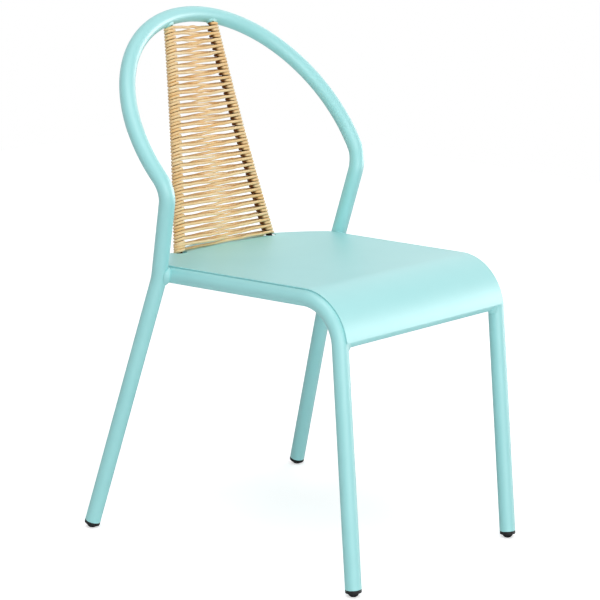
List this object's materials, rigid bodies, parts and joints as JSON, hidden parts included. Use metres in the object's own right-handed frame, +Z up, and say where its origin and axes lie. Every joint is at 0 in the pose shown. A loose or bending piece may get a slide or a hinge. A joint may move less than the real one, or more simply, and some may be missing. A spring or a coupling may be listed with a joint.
{
  "type": "bistro chair",
  "caption": "Stacking outdoor side chair of bent steel tube with a hoop back, a sheet seat that rolls down at the front, and a back splat wound with cord.",
  "frame": {"origin": "on the floor under the middle of the chair's bounding box", "axes": "+Z up, the sitter faces -Y, +X to the sitter's left"},
  "size_m": [0.5198, 0.5714, 0.809],
  "materials": {
    "powder_coat": "satin turquoise powder coat",
    "rod_steel": "dark brown paint",
    "rattan_cord": "streaked straw-coloured outdoor cord, slightly glossy",
    "foot_plastic": "black moulded plastic"
  },
  "bodies": {
    "root": {"back_hoop_and_rear_legs": "powder_coat", "front_leg_and_rail_left": "powder_coat", "front_leg_and_rail_right": "powder_coat", "seat_panel": "powder_coat", "front_cross_tube": "powder_coat", "rear_seat_bow": "powder_coat", "splat_rod_left": "rod_steel", "splat_rod_right": "rod_steel", "splat_winding": "rattan_cord", "foot_plug_front_left": "foot_plastic", "foot_plug_front_right": "foot_plastic", "foot_plug_rear_left": "foot_plastic", "foot_plug_rear_right": "foot_plastic"}
  },
  "joints": []
}
